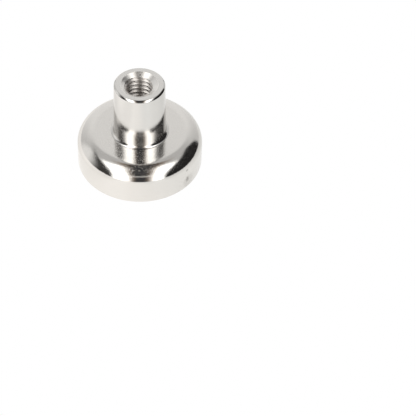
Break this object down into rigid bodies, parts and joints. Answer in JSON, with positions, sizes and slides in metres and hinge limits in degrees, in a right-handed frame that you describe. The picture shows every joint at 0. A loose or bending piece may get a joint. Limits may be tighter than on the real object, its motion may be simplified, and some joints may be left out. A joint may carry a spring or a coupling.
{
  "type": "pot magnet",
  "caption": "Round steel pot magnet with a rounded shoulder, an upright internally threaded stem and a recessed sintered magnet disc in its flat pulling face.",
  "frame": {"origin": "centre of the pulling face, on the plane of the pot's open rim, which is the bottom centre of the bounding box", "axes": "+Z along the common axis, from the pulling face towards the stem's threaded end; X and Y are arbitrary across the face"},
  "size_m": [0.025, 0.025, 0.02],
  "materials": {
    "nickel_pot": "polished nickel plate; flat ground rim",
    "nickel_bush": "polished nickel plate",
    "nickel_magnet": "satin nickel plate, faintly mottled",
    "adhesive": "cured dark brown epoxy"
  },
  "bodies": {
    "root": {"pot": "nickel_pot", "threaded_bush": "nickel_bush", "magnet": "nickel_magnet", "adhesive": "adhesive"}
  },
  "joints": []
}
